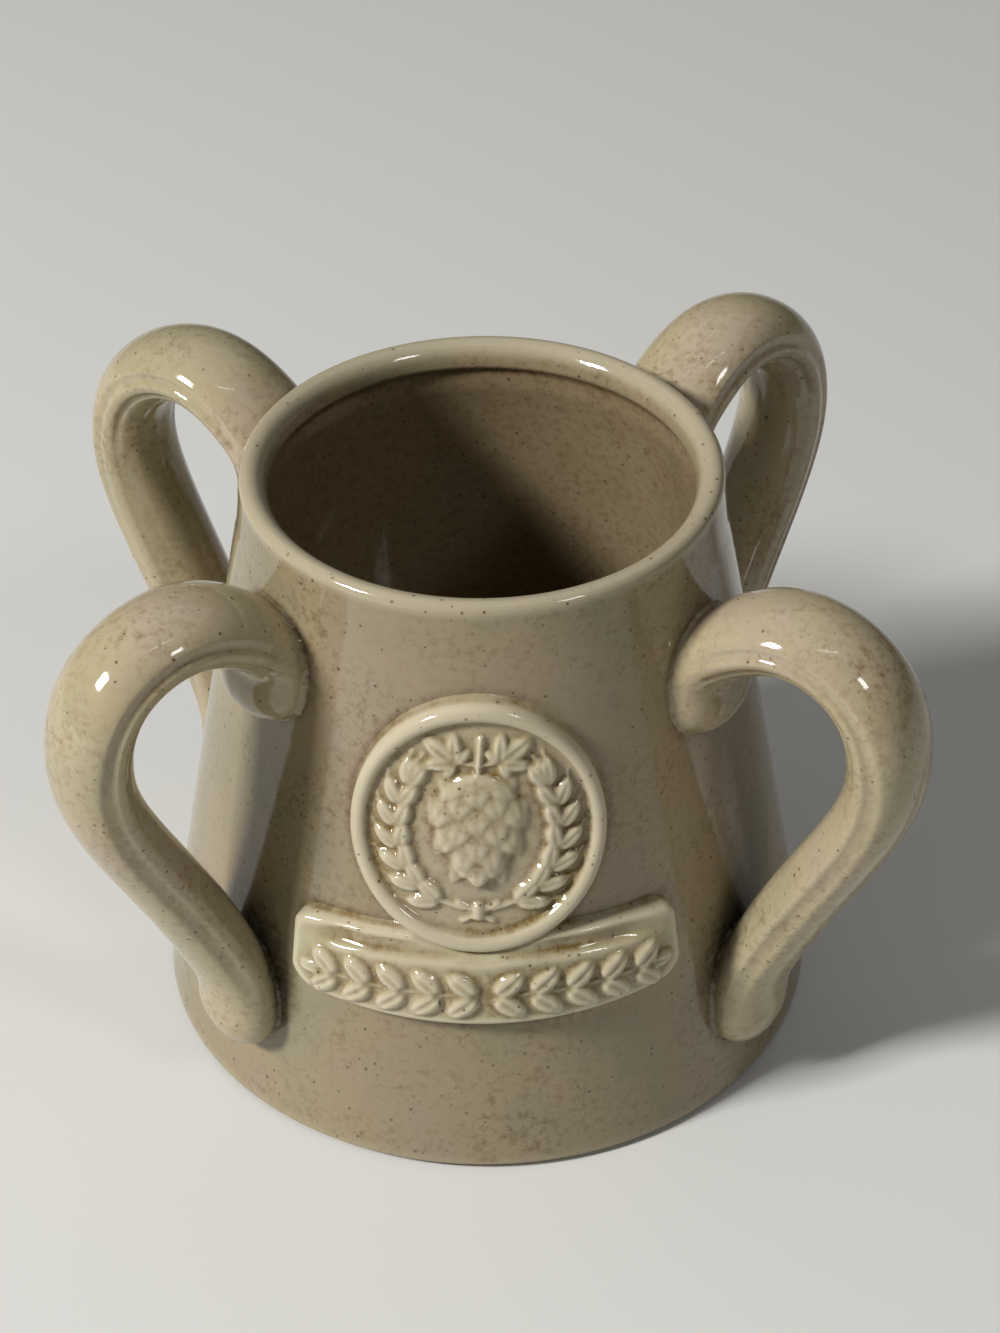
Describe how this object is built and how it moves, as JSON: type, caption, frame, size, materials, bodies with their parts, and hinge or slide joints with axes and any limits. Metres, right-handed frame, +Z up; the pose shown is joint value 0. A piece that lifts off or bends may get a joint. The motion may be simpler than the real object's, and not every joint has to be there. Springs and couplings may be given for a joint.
{
  "type": "four-handled mug",
  "caption": "Glazed stoneware mug with a cone-shaped cup, looped handles on four sides, an oval plaque of barley and hops and a plain ribbon on its front.",
  "frame": {"origin": "centre of the foot, on the plane that the mug stands on", "axes": "+Z up along the cup's axis, -Y towards the plaque on the front, +X to the right of someone facing the plaque"},
  "size_m": [0.1262, 0.1051, 0.098],
  "materials": {
    "body_glaze": "clear gloss glaze over beige stoneware with fine brown specks",
    "handle_glaze": "clear gloss glaze over beige stoneware, thicker and browner in the hollows",
    "relief_glaze": "clear gloss glaze over pale stoneware, pooled yellow-brown around the relief"
  },
  "bodies": {
    "root": {"mug_body": "body_glaze", "handle_front_left": "handle_glaze", "handle_front_right": "handle_glaze", "handle_back_right": "handle_glaze", "handle_back_left": "handle_glaze", "plaque": "relief_glaze", "ribbon": "relief_glaze"}
  },
  "joints": []
}
